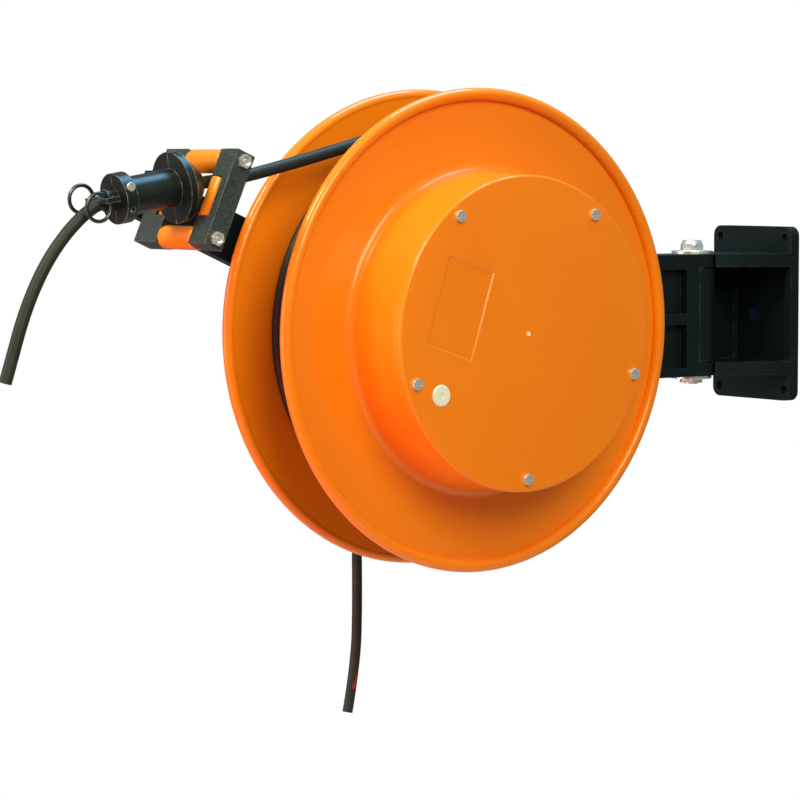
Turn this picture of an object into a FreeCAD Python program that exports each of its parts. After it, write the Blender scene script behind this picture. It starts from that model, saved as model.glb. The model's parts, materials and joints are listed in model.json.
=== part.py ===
"""Spring-return cable reel on a swivelling wall bracket.

Row frame: origin at the centre of the wall plate's back face, the wall on the +X side, +Z up, the
front of the drum towards -Y. Millimetres. The reel's pieces are drawn in a reel frame whose origin
lies on the drum's axis in the middle plane of the swivel arm: x to the right, y up, z forward.
"""
import FreeCAD
import Part
import Sketcher
import math
import os
import re

DOC = FreeCAD.newDocument("cable_reel")
SHEET = DOC.addObject("Spreadsheet::Sheet", "Sizes")

SIZES = {
    # wall bracket and hinge
    "wall_width": 105, "wall_height": 160, "wall_thick": 10, "wall_corner": 9,
    "fixing_hole": 8.5, "fixing_wide": 87, "fixing_tall": 140, "wall_bore": 15.8, "cap_thick": 2.5,
    "hinge_reach": 84.5, "barrel_radius": 21, "barrel_half": 42, "lug_inner": 43.5, "lug_thick": 12,
    "knuckle_gap": 1.5, "bolt_radius": 6, "bush_radius": 8, "bush_depth": 16, "run_clear": 0.05,
    "washer_radius": 18.6, "washer_thick": 3, "nut_thick": 4,
    # swivel arm and axle
    "arm_reach": 340, "arm_half": 21, "arm_low": 34, "hub_radius": 46, "arm_web": 6,
    "pocket_far": 54, "pocket_wide": 30.5, "pocket_deep": 9,
    "axle_radius": 12.5, "axle_bore": 7, "axle_front": 176, "bearing_radius": 18.5, "bearing_width": 7,
    # drum
    "drum_middle": 79.8, "flange_radius": 200, "bead_radius": 5.2, "sheet_thick": 3,
    "core_radius": 128, "cable_radius": 5.1, "cable_layers": 3, "cable_turns": 7, "side_play": 1,
    "housing_radius": 128.8, "housing_front": 183.4, "housing_draft": 2.4, "housing_fillet": 9,
    "cover_pitch": 118.6, "cover_screw": 2.5, "cover_head": 4.75, "plug_radius": 9, "plug_pitch": 100,
    "boss_radius": 6.2, "hub_wall": 6, "label_long": 72, "label_wide": 46, "label_pitch": 72.5,
    "spring_width": 46, "spring_room": 7, "spring_inner": 17.5, "spring_strip": 1.2, "spring_step": 3.1,
    "ratchet_radius": 60, "tooth_depth": 7,
    # slip rings
    "carrier_radius": 22, "ring_radius": 26, "ring_width": 6, "ring_pitch": 11, "ring_back": 56,
    # guide
    "guide_radius": 274.9, "guide_angle": 156.5, "guide_long": 80, "guide_deep": 17, "guide_bar": 9,
    "back_bar": 17, "guide_half": 47.5, "block_long": 23, "roller_pitch": 32.6, "roller_radius": 9.5,
    "slim_radius": 9.5, "slim_pitch": 28.5, "pin_radius": 3, "strip_wide": 40, "strip_back": 8,
    "strip_thick": 12,
    # cable stop
    "stop_flange": 28.2, "stop_rim": 6, "stop_cone": 16, "stop_barrel": 15.2, "stop_tail": 20,
    "stop_tail_thick": 10, "stop_long": 53.6, "stop_split": 0.25, "ring_outer": 12.25, "ring_wire": 1.5,
    # terminal box and supply
    "box_wide": 64, "box_top": 34, "box_bottom": 40, "box_deep": 57, "box_wall": 3,
    "supply_radius": 4.5, "supply_deep": 50, "supply_side": -2, "gland_flats": 22,
}
for row, (alias, number_of) in enumerate(SIZES.items(), start=1):
    SHEET.set("A%d" % row, alias)
    SHEET.set("B%d" % row, str(number_of))
    SHEET.setAlias("B%d" % row, alias)

# lengths that follow from the sheet, as formulas of its names
FLANGE_OUT = "(lug_inner + lug_thick)"
GAP_HALF = "(cable_turns*cable_radius + side_play/2)"
FRONT_SHEET = "(drum_middle + %s)" % GAP_HALF
BACK_SHEET = "(drum_middle - %s)" % GAP_HALF
BEAD_PITCH = "(flange_radius - bead_radius)"
COIL_RADIUS = "(core_radius + 2*cable_layers*cable_radius)"
COVER_BACK = "(housing_front - sheet_thick)"
HUB_OUTER = "(bearing_radius + hub_wall)"
GUIDE_BACK = "(guide_half + back_bar - guide_bar)"
PIN_HALF = "(roller_pitch - pin_radius - 0.5)"
GLAND_LEVEL = "(%s - 12)" % FRONT_SHEET
TOUCH_GAP = "0.3"

UP = FreeCAD.Rotation()
ALONG_X = FreeCAD.Rotation(FreeCAD.Vector(0, 1, 0), 90)
ALONG_Y = FreeCAD.Rotation(FreeCAD.Vector(1, 0, 0), -90)
PARTS = []


def formula(text):
    """A formula of size names, rewritten to read them from the sheet."""
    return re.sub(r"[a-z]+_[a-z_]+", lambda word: "Sizes." + word.group(), str(text))


def number(text):
    """The value of a formula of size names."""
    plain = re.sub(r"[a-z]+_[a-z_]+", lambda word: "(%r)" % SIZES[word.group()], str(text))
    return FreeCAD.Units.Quantity(plain).Value


def bind(obj, **sizes):
    """Bind properties of an object to formulas of the sheet's names."""
    for name, text in sizes.items():
        obj.setExpression(name, formula(text))
    return obj


def put(obj, at, turn=UP):
    """Turn a building block and bind its position."""
    obj.Placement = FreeCAD.Placement(FreeCAD.Vector(), turn)
    for letter, text in zip("xyz", at):
        obj.setExpression("Placement.Base." + letter, formula(text))
    return obj


def cylinder(radius, height, at=(0, 0, 0), turn=UP):
    return put(bind(DOC.addObject("Part::Cylinder", "round"), Radius=radius, Height=height), at, turn)


def cone(radius, far_radius, height, at=(0, 0, 0), turn=UP):
    solid = bind(DOC.addObject("Part::Cone", "taper"), Radius1=radius, Radius2=far_radius, Height=height)
    return put(solid, at, turn)


def box(length, width, height, at=(0, 0, 0), turn=UP):
    solid = bind(DOC.addObject("Part::Box", "block"), Length=length, Width=width, Height=height)
    return put(solid, at, turn)


def torus(pitch, radius, at=(0, 0, 0), turn=UP):
    return put(bind(DOC.addObject("Part::Torus", "bead"), Radius1=pitch, Radius2=radius), at, turn)


def prism(sides, radius, height, at=(0, 0, 0), turn=UP):
    solid = bind(DOC.addObject("Part::Prism", "prism"), Circumradius=radius, Height=height)
    solid.Polygon = sides
    return put(solid, at, turn)


def fuse(*solids):
    result = DOC.addObject("Part::MultiFuse", "joined")
    result.Shapes = list(solids)
    return result


def cut(base, *tools):
    result = DOC.addObject("Part::Cut", "trimmed")
    result.Base = base
    result.Tool = tools[0] if len(tools) == 1 else fuse(*tools)
    return result


def common(base, tool):
    result = DOC.addObject("Part::Common", "shared")
    result.Base = base
    result.Tool = tool
    return result


def group(*solids):
    """Separate solids that share one node."""
    result = DOC.addObject("Part::Compound", "set")
    result.Links = list(solids)
    return result


def tube(radius, bore, height, at=(0, 0, 0), turn=UP):
    return cut(cylinder(radius, height, at, turn), cylinder(bore, height, at, turn))


def shape_of(shape):
    """A plain shape as an object of the document."""
    result = DOC.addObject("Part::Feature", "shape")
    result.Shape = shape
    return result


def sub_part(name, obj, frame):
    """Name a finished piece and place it in the row frame."""
    piece = obj if obj.TypeId != "Part::Feature" and not obj.ExpressionEngine else group(obj)
    piece.Label = name
    piece.Placement = frame
    PARTS.append(piece)
    return piece


def polar(radius, degrees):
    """X and Y formulas of a point at an angle on a circle."""
    return "(%s)*cos(%s deg)" % (radius, degrees), "(%s)*sin(%s deg)" % (radius, degrees)


def sketch(body, role, corners=(), circles=(), offset="0"):
    """A fully held sketch: a polygon of formula corners and circles of (x, y, radius)."""
    drawing = body.newObject("Sketcher::SketchObject", "sketch")
    plane = [item for item in body.Origin.OriginFeatures if item.Role == role][0]
    drawing.AttachmentSupport = (plane, [""])
    drawing.MapMode = "FlatFace"
    drawing.setExpression("AttachmentOffset.Base.z", formula(offset))
    places = [FreeCAD.Vector(number(x), number(y), 0) for x, y in corners]
    for index, start in enumerate(places):
        drawing.addGeometry(Part.LineSegment(start, places[(index + 1) % len(places)]), False)
    for index in range(len(places)):
        follower = (index + 1) % len(places)
        drawing.addConstraint(Sketcher.Constraint("Coincident", index, 2, follower, 1))
    for index, (x, y) in enumerate(corners):
        hold_point(drawing, index, 1, x, y)
    for x, y, radius in circles:
        centre = FreeCAD.Vector(number(x), number(y), 0)
        ring = drawing.addGeometry(Part.Circle(centre, FreeCAD.Vector(0, 0, 1), number(radius)), False)
        hold_point(drawing, ring, 3, x, y)
        held = drawing.addConstraint(Sketcher.Constraint("Radius", ring, number(radius)))
        drawing.setExpression("Constraints[%d]" % held, formula(radius))
    return drawing


def hold_point(drawing, geometry, point, x, y):
    """Hold a sketch point at formula distances from the sketch's origin."""
    for kind, text in (("DistanceX", x), ("DistanceY", y)):
        held = drawing.addConstraint(Sketcher.Constraint(kind, -1, 1, geometry, point, number(text)))
        drawing.setExpression("Constraints[%d]" % held, formula(text))


def pad(body, drawing, length):
    feature = body.newObject("PartDesign::Pad", "pad")
    feature.Profile = drawing
    return bind(feature, Length=length)


def pocket(body, drawing, length, forward=False):
    """Cut a sketch into the solid, against its normal or forward along it; it must remove material."""
    DOC.recompute()
    before = body.Shape.Volume
    feature = body.newObject("PartDesign::Pocket", "pocket")
    feature.Profile = drawing
    feature.Reversed = forward
    bind(feature, Length=length)
    DOC.recompute()
    if not body.Shape.Volume < before:
        raise RuntimeError("a pocket removed nothing from " + body.Name)
    return feature


def revolve(name, corners):
    """A body turned about its Z axis from a polygon of (radius, height) formulas."""
    body = DOC.addObject("PartDesign::Body", name)
    feature = body.newObject("PartDesign::Revolution", "turned")
    drawing = sketch(body, "XZ_Plane", corners)
    feature.Profile = drawing
    feature.ReferenceAxis = (drawing, ["V_Axis"])
    feature.Angle = 360
    return body


def frame_at(outer, at, degrees=0):
    """A frame inside another one, at a point and turned about its Z axis."""
    turn = FreeCAD.Rotation(FreeCAD.Vector(0, 0, 1), degrees)
    return outer.multiply(FreeCAD.Placement(FreeCAD.Vector(*at), turn))


ROW = FreeCAD.Placement()
HINGE = frame_at(ROW, (-number("hinge_reach"), 0, 0))
FORWARD = FreeCAD.Rotation(FreeCAD.Vector(1, 0, 0), 90)
REEL = FreeCAD.Placement(FreeCAD.Vector(-number("hinge_reach + arm_reach"), 0, 0), FORWARD)
GUIDE_TURN = number("guide_angle")
GUIDE_X = number("guide_radius") * math.cos(math.radians(GUIDE_TURN))
GUIDE_Y = number("guide_radius") * math.sin(math.radians(GUIDE_TURN))
GUIDE = frame_at(REEL, (GUIDE_X, GUIDE_Y, number("drum_middle")), GUIDE_TURN)
# the stop rests against the guide: its big flange's outer face, and the way its axis points
STOP_FACE = FreeCAD.Vector(-281.3, 118.9, 89.4)
STOP_TURN = 189.0
STOP_AXIS = FreeCAD.Vector(math.cos(math.radians(STOP_TURN)), math.sin(math.radians(STOP_TURN)), 0)
STOP = frame_at(REEL, STOP_FACE, STOP_TURN)


def wall_bracket():
    """Plate, two tapered flanges, a back wall and the hinge barrel, in one casting."""
    body = DOC.addObject("PartDesign::Body", "wall_casting")
    wide, tall = "wall_width/2", "wall_height/2"
    plate = sketch(body, "YZ_Plane", [("-" + wide, "-" + tall), (wide, "-" + tall), (wide, tall),
                                      ("-" + wide, tall)], offset="-wall_thick")
    slab = pad(body, plate, "wall_thick")
    DOC.recompute()
    ribs = [i for i, e in enumerate(slab.Shape.Edges, 1) if abs(e.tangentAt(e.FirstParameter).x) > 0.9]
    corners = body.newObject("PartDesign::Fillet", "plate_corners")
    corners.Base = (slab, ["Edge%d" % i for i in ribs])
    bind(corners, Radius="wall_corner")
    tip = "hinge_reach - 11"
    nose = "barrel_radius"
    taper = [("-wall_thick", "-" + wide), ("-wall_thick", wide), ("-(%s)" % tip, nose),
             ("-(%s)" % tip, "-" + nose)]
    for level in ("lug_inner", "-" + FLANGE_OUT):
        pad(body, sketch(body, "XY_Plane", taper, offset=level), "lug_thick")
    back = [("-wall_thick", "25"), ("-wall_thick", "35"), ("-hinge_reach", nose + " - 4"),
            ("-hinge_reach", "7")]
    pad(body, sketch(body, "XY_Plane", back, offset="-lug_inner"), "2*lug_inner")
    barrel = sketch(body, "XY_Plane", circles=[("-hinge_reach", "0", nose)], offset="-barrel_half")
    pad(body, barrel, "2*barrel_half")
    knuckle = [("-hinge_reach", "0", "barrel_radius + knuckle_gap")]
    pocket(body, sketch(body, "XY_Plane", circles=knuckle, offset="barrel_half"), "2*lug_thick", True)
    pocket(body, sketch(body, "XY_Plane", circles=knuckle, offset="-barrel_half"), "2*lug_thick")
    bore = [("-hinge_reach", "0", "bush_radius")]
    pocket(body, sketch(body, "XY_Plane", circles=bore, offset="barrel_half"), "2*barrel_half")
    room = [("-45", "-lug_inner"), ("24", "-lug_inner"), ("24", "lug_inner"), ("-45", "lug_inner")]
    pocket(body, sketch(body, "YZ_Plane", room, offset="4 - wall_thick"), "4")
    side, rise = "fixing_wide/2", "fixing_tall/2"
    holes = [(a + side, b + rise, "fixing_hole/2") for a in ("", "-") for b in ("", "-")]
    pocket(body, sketch(body, "YZ_Plane", circles=holes + [("0", "0", "wall_bore/2")]), "wall_thick")
    return sub_part("wall_bracket", body, ROW)


def bore_cap():
    """Plastic cap pressed into the plate's middle hole from the wall side."""
    sub_part("bore_cap", cylinder("wall_bore/2", "cap_thick", ("-cap_thick - 0.5", 0, 0), ALONG_X), ROW)


def hinge_pieces():
    """Bushes in the barrel, and the bolt, washers and nut that the arm carries."""
    bushes = []
    for turn in (UP, FreeCAD.Rotation(FreeCAD.Vector(1, 0, 0), 180)):
        sleeve = cylinder("bush_radius", "bush_depth")
        rim = cylinder("bush_radius + 6", "knuckle_gap - 0.3", (0, 0, "bush_depth"))
        bush = cut(fuse(sleeve, rim), cylinder("bolt_radius + run_clear", "bush_depth + knuckle_gap"))
        half = FreeCAD.Vector(0, 0, number("barrel_half - bush_depth"))
        bush.Placement = FreeCAD.Placement(turn.multVec(half), turn)
        bushes.append(bush)
    sub_part("hinge_bushes", group(*bushes), HINGE)
    over = FLANGE_OUT + " + washer_thick"
    shank = cylinder("bolt_radius", "2*(%s) + nut_thick + 1" % over, (0, 0, "-(%s) - nut_thick - 1" % over))
    head = prism(6, "bolt_radius*1.83", "9.5", (0, 0, over))
    dome = cone("bolt_radius*2.2", "bolt_radius*1.3", "10", (0, 0, over))
    sub_part("hinge_bolt", fuse(shank, common(head, dome)), HINGE)
    rings = [tube("washer_radius", "bolt_radius", "washer_thick", (0, 0, level))
             for level in (FLANGE_OUT, "-(%s)" % over)]
    sub_part("hinge_washers", group(*rings), HINGE)
    low = (0, 0, "-(%s) - nut_thick" % over)
    sub_part("hinge_nut", cut(prism(6, "bolt_radius*1.83", "nut_thick", low),
                              cylinder("bolt_radius", "nut_thick", low)), HINGE)


def swivel_arm():
    """Cast arm: fork lugs at the hinge, a webbed beam behind the drum and a hub for the axle."""
    body = DOC.addObject("PartDesign::Body", "beam")
    top, low, root = FLANGE_OUT, "arm_low", "arm_reach"
    beam = [("0", "-" + top), ("0", top), ("-150", top), ("-240", low), ("-" + root, low),
            ("-" + root, "-" + low), ("-240", "-" + low), ("-150", "-" + top)]
    pad(body, sketch(body, "XZ_Plane", beam, offset="-arm_half"), "2*arm_half")
    lugs = cylinder("barrel_radius", "2*" + FLANGE_OUT, (0, 0, "-" + FLANGE_OUT))
    hub = cylinder("hub_radius", "2*arm_half", ("-arm_reach", "-arm_half", 0), ALONG_Y)
    gap = [cylinder("barrel_radius + knuckle_gap", "2*lug_inner", (0, 0, "-lug_inner")),
           box("barrel_radius*2", "4*arm_half", "2*lug_inner", (0, "-2*arm_half", "-lug_inner"))]
    seat = cylinder("hub_radius + 2", "arm_half", ("-arm_reach", "-arm_half", 0), ALONG_Y)
    seat.setExpression("Placement.Base.y", formula("-strip_back - arm_half"))
    bores = [cylinder("bolt_radius", "3*lug_inner", (0, 0, "-1.5*lug_inner")),
             cylinder("axle_radius", "4*arm_half", ("-arm_reach", "-2*arm_half", 0), ALONG_Y)]
    side = "arm_half - arm_web/2"
    recesses = [box("pocket_wide", "pocket_deep", "40", ("-pocket_far", "-arm_half", "2")),
                box("pocket_wide", "pocket_deep", "40", ("-pocket_far", "-arm_half", "-48")),
                box("78", side, "40", ("-115", "arm_web/2", "2")),
                box("78", side, "38", ("-115", "arm_web/2", "-48"))]
    for y in ("-arm_half", "arm_web/2"):
        start = "hub_radius + 32 - arm_reach"
        long, tall = "arm_reach - hub_radius - 164", "2*arm_low - 12"
        recesses.append(box(long, side, tall, (start, y, "6 - arm_low")))
    holes = fixing_points("4.1", "60", "-30")
    arm = cut(fuse(body, lugs, hub), *gap, *bores, *recesses, seat, strip_slot(), *holes)
    return sub_part("swivel_arm", arm, HINGE)


def strip_slot():
    """Room that the arm leaves for the guide strip where it passes beside the hub."""
    turn = FORWARD.multiply(FreeCAD.Rotation(FreeCAD.Vector(0, 0, 1), GUIDE_TURN))
    x, z = polar("(strip_wide + 1)/2", GUIDE_TURN - 90)
    corner = ("-arm_reach + " + x, "-strip_back", z)
    return box("hub_radius + 20", "strip_wide + 1", "strip_thick + 20", corner, turn)


def fixing_points(radius, length, start):
    """Three round tools through the hub, in the hinge frame, where the guide strip is bolted."""
    tools = []
    for degrees in (GUIDE_TURN - 90, GUIDE_TURN + 30, GUIDE_TURN - 210):
        x, z = polar("hub_radius - 12", degrees)
        tools.append(cylinder(radius, length, ("-arm_reach + " + x, start, z), ALONG_Y))
    return tools


def axle_pieces():
    """Hollow axle, its circlips and the arbor that holds the spring's inner end."""
    start = "-(arm_half + 14)"
    rod = cylinder("axle_radius", "axle_front + arm_half + 14", (0, 0, start))
    bore = cylinder("axle_bore", "%s - 20 + arm_half + 14" % FRONT_SHEET, (0, 0, start))
    windows = [cylinder("3", "axle_radius + 2", (0, 0, "ring_back + ring_width/2 + %d*ring_pitch" % i),
                        ALONG_X) for i in range(3)]
    front = "(%s + sheet_thick + 1)" % FRONT_SHEET
    back = "(%s - sheet_thick - 2.5)" % BACK_SHEET
    grooves = [tube("axle_radius + 1", "axle_radius - 1", "1.2", (0, 0, z)) for z in (front, back)]
    sub_part("axle", cut(rod, bore, *windows, *grooves), REEL)
    clips = [tube("axle_radius + 2.5", "axle_radius - 1", "1.2", (0, 0, z)) for z in (front, back)]
    notches = [box("10", "6", "1.2", ("axle_radius - 4", "-3", z)) for z in (front, back)]
    sub_part("circlips", group(*[cut(clip, notch) for clip, notch in zip(clips, notches)]), REEL)
    level = "%s + sheet_thick + spring_room - 1" % FRONT_SHEET
    arbor = tube("spring_inner - 1.5", "axle_radius", "spring_width + 2", (0, 0, level))
    slot = box("3", "1.6", "spring_width + 2", ("spring_inner - 3.5", "-0.8", level))
    sub_part("spring_arbor", cut(arbor, slot), REEL)


def slip_ring_pieces():
    """Insulating carrier and brass rings on the axle, brush block and brushes in the drum."""
    depth = "3*ring_pitch"
    carrier = tube("carrier_radius", "axle_radius", depth, (0, 0, "ring_back - ring_pitch/4"))
    sub_part("ring_carrier", carrier, REEL)
    levels = ["ring_back + %d*ring_pitch" % index for index in range(3)]
    rings = [tube("ring_radius", "carrier_radius", "ring_width", (0, 0, level)) for level in levels]
    sub_part("slip_rings", group(*rings), REEL)
    start = "ring_radius + 6"
    holder = box("40", "24", "ring_back - %s + %s" % (BACK_SHEET, depth), (start, "-12", BACK_SHEET))
    slots = [box("12", "8", "ring_width - 1", (start, "-4", level + " + 0.5")) for level in levels]
    sub_part("brush_holder", cut(holder, *slots), REEL)
    brushes = [box("18 - %s" % TOUCH_GAP, "8", "ring_width - 1",
                   ("ring_radius + " + TOUCH_GAP, "-4", level + " + 0.5")) for level in levels]
    sub_part("brushes", group(*brushes), REEL)


def drum_back():
    """Back flange, winding core and bearing hub, with a rolled rim."""
    plate, out = BACK_SHEET, "%s - sheet_thick" % BACK_SHEET
    inner, far = "core_radius - sheet_thick", FRONT_SHEET
    bearing, hub = "bearing_radius", HUB_OUTER
    shape = revolve("back_shell", [(bearing, out), (BEAD_PITCH, out), (BEAD_PITCH, plate),
                                   ("core_radius", plate), ("core_radius", far), (inner, far),
                                   (inner, plate), (hub, plate), (hub, plate + " + bearing_width"),
                                   (bearing, plate + " + bearing_width")])
    rim = torus(BEAD_PITCH, "bead_radius", (0, 0, "%s - 1.8" % out))
    bosses = []
    holes = []
    for index in range(6):
        x, y = polar("core_radius - sheet_thick - 5", 60 * index)
        bosses.append(cylinder("6", "2*" + GAP_HALF, (x, y, BACK_SHEET)))
        holes.append(cylinder("2.5", "16", (x, y, FRONT_SHEET + " - 16")))
    passage = cylinder("8", "2*sheet_thick + 4", (0, "-core_radius - 2", GLAND_LEVEL), ALONG_Y)
    sub_part("drum_back", cut(fuse(shape, rim, *bosses), *holes, passage), REEL)


def drum_front():
    """Front flange with the spring housing's wall, five screw bosses and a bearing hub."""
    plate, out = FRONT_SHEET, "%s + sheet_thick" % FRONT_SHEET
    foot = "housing_radius + housing_draft"
    inside = "housing_radius - sheet_thick"
    shape = revolve("front_shell", [("bearing_radius", plate + " - bearing_width"),
                                    (HUB_OUTER, plate + " - bearing_width"), (HUB_OUTER, plate),
                                    (BEAD_PITCH, plate), (BEAD_PITCH, out),
                                    (foot + " + housing_fillet", out),
                                    (foot + " + housing_fillet*0.29", out + " + housing_fillet*0.29"),
                                    (foot, out + " + housing_fillet"), ("housing_radius", COVER_BACK),
                                    (inside, COVER_BACK), (inside, out), ("bearing_radius", out)])
    rim = torus(BEAD_PITCH, "bead_radius", (0, 0, "%s + 1.8" % out))
    bosses = []
    holes = []
    for index in range(5):
        x, y = polar("cover_pitch", 126 - 72 * index)
        bosses.append(cylinder("boss_radius", "%s - (%s)" % (COVER_BACK, out), (x, y, out)))
        holes.append(cylinder("cover_screw", "14", (x, y, COVER_BACK + " - 14")))
    for index in range(6):
        x, y = polar("core_radius - sheet_thick - 5", 60 * index)
        holes.append(cylinder("2.5", "sheet_thick", (x, y, plate)))
    sub_part("drum_front", cut(fuse(shape, rim, *bosses), *holes), REEL)


def drum_fixings():
    """Screws that hold the drum's halves together, and the two bearings."""
    screws = []
    top = "%s + sheet_thick" % FRONT_SHEET
    for index in range(6):
        x, y = polar("core_radius - sheet_thick - 5", 60 * index)
        screws.append(fuse(cylinder("2.5", "15 + sheet_thick", (x, y, top + " - 15 - sheet_thick")),
                           cylinder("4.5", "2.6", (x, y, top))))
    sub_part("drum_screws", group(*screws), REEL)
    races = []
    for start in ("%s - sheet_thick" % BACK_SHEET, "%s + sheet_thick - bearing_width" % FRONT_SHEET):
        races.append(tube("bearing_radius", "axle_radius + run_clear", "bearing_width", (0, 0, start)))
    sub_part("bearings", group(*races), REEL)


def spring_cover():
    """Flat cover of the spring housing with its label recess and holes."""
    rim = "1.5"
    disc = revolve("cover_disc", [("0", COVER_BACK), ("housing_radius", COVER_BACK),
                                  ("housing_radius", "housing_front - " + rim),
                                  ("housing_radius - " + rim, "housing_front"), ("0", "housing_front")])
    tools = []
    for index in range(5):
        x, y = polar("cover_pitch", 126 - 72 * index)
        tools.append(cylinder("cover_screw", "sheet_thick", (x, y, COVER_BACK)))
    x, y = polar("plug_pitch", -152.3)
    tools.append(cylinder("plug_radius - 2", "sheet_thick", (x, y, COVER_BACK)))
    tools.append(cylinder("1.75", "sheet_thick", (0, 0, COVER_BACK)))
    tilt = FreeCAD.Rotation(FreeCAD.Vector(0, 0, 1), -18)
    inner, half_long = number("label_pitch + label_wide/2"), number("label_long/2")
    corner = tilt.multVec(FreeCAD.Vector(-inner, -half_long, 0))
    at = (corner.x, corner.y, "housing_front - 0.5")
    recess = box("label_wide", "label_long", "1", at, tilt)
    sub_part("spring_cover", cut(disc, *tools, recess), REEL)


def cover_trim():
    """Slotted cover screws, the plug and the centre pin."""
    screws = []
    for index in range(5):
        x, y = polar("cover_pitch", 126 - 72 * index)
        shank = cylinder("cover_screw", "12 + sheet_thick", (x, y, "housing_front - 12 - sheet_thick"))
        head = cylinder("cover_head", "2.6", (x, y, "housing_front"))
        blade = box("12", "1.2", "1.4", (x + " - 6", y + " - 0.6", "housing_front + 1.4"))
        screws.append(cut(fuse(shank, head), blade))
    sub_part("cover_screws", group(*screws), REEL)
    x, y = polar("plug_pitch", -152.3)
    stem = cylinder("plug_radius - 2", "sheet_thick", (x, y, COVER_BACK))
    cap = cone("plug_radius", "plug_radius - 1", "1.6", (x, y, "housing_front"))
    dimple = cylinder("2", "1", (x, y, "housing_front + 0.8"))
    sub_part("cover_plug", cut(fuse(stem, cap), dimple), REEL)
    sub_part("centre_pin", cylinder("1.75", "sheet_thick + 1.2", (0, 0, COVER_BACK)), REEL)


def mainspring():
    """Flat spiral spring: half circles whose centres alternate, each one strip step wider."""
    step = number("spring_step")
    strip = number("spring_strip")
    turns = int((number("cover_pitch - boss_radius - spring_inner") - 4) / step) // 2

    def half_circle(index, grow):
        side = 1 if index % 2 == 0 else -1
        radius = number("spring_inner") + index * step + grow
        centre = FreeCAD.Vector(0 if side > 0 else step, 0, 0)
        ends = [centre + FreeCAD.Vector(side * radius, 0, 0), centre - FreeCAD.Vector(side * radius, 0, 0)]
        middle = centre + FreeCAD.Vector(0, side * radius, 0)
        return Part.Arc(ends[0], middle, ends[1]).toShape()

    inner = [half_circle(index, 0) for index in range(2 * turns)]
    outer = [half_circle(index, strip) for index in range(2 * turns)]
    caps = [Part.makeLine(inner[0].Vertexes[0].Point, outer[0].Vertexes[0].Point),
            Part.makeLine(inner[-1].Vertexes[-1].Point, outer[-1].Vertexes[-1].Point)]
    outline = Part.Wire(Part.sortEdges(inner + outer + caps)[0])
    solid = Part.Face(outline).extrude(FreeCAD.Vector(0, 0, number("spring_width")))
    solid.translate(FreeCAD.Vector(0, 0, number("%s + sheet_thick + spring_room" % FRONT_SHEET)))
    sub_part("mainspring", shape_of(solid), REEL)


def cable_coil():
    """Outer shape of the cable wound between the flanges."""
    width = "2*%s - 2*%s" % (GAP_HALF, TOUCH_GAP)
    coil = tube(COIL_RADIUS, "core_radius + 0.1", width, (0, 0, "%s + %s" % (BACK_SHEET, TOUCH_GAP)))
    sub_part("cable_coil", coil, REEL)


def ratchet():
    """Toothed wheel on the drum's back, and the sprung pawl on the arm."""
    body = DOC.addObject("PartDesign::Body", "toothed_wheel")
    back = "%s - sheet_thick - 7" % BACK_SHEET
    rings = [("0", "0", "ratchet_radius"), ("0", "0", "bearing_radius")]
    pad(body, sketch(body, "XY_Plane", circles=rings, offset=back), "7")
    root = "ratchet_radius - tooth_depth"
    tooth = [(root, "0"), ("ratchet_radius + 1", "0"), ("ratchet_radius + 1", "(ratchet_radius)*0.42")]
    notch = pocket(body, sketch(body, "XY_Plane", tooth, offset=back), "7", True)
    pattern = body.newObject("PartDesign::PolarPattern", "teeth")
    pattern.Originals = [notch]
    pattern.Axis = (notch.Profile[0], ["N_Axis"])
    pattern.Angle = 360
    pattern.Occurrences = 12
    body.Tip = pattern
    sub_part("ratchet_wheel", body, REEL)
    pivot = frame_at(REEL, (74, 22, 0), -31)
    low = "(%s - sheet_thick - 6.5)" % BACK_SHEET
    sub_part("pawl_pin", cylinder("3", low + " + 4.4 - arm_half", (0, 0, "arm_half")), pivot)
    eye = cylinder("6.5", "5.5", (0, 0, low))
    finger = box("6", "20.5", "5.5", ("-3", "-20.5", low))
    tail = box("6", "13", "5.5", ("-3", "0", low))
    bore = cylinder("3 + run_clear", "5.5", (0, 0, low))
    sub_part("pawl", cut(fuse(eye, finger, tail), bore), pivot)
    coil = Part.makeHelix(1.7, number(low + " - arm_half - 2.9"), 4.6)
    section = Part.Wire(Part.makeCircle(0.6, FreeCAD.Vector(4.6, 0, 0), FreeCAD.Vector(0, 1, 0)))
    spring = Part.Wire(coil.Edges).makePipeShell([section], True, True)
    spring.translate(FreeCAD.Vector(0, 0, number("arm_half") + 1))
    sub_part("pawl_spring", shape_of(spring), pivot)


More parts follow.
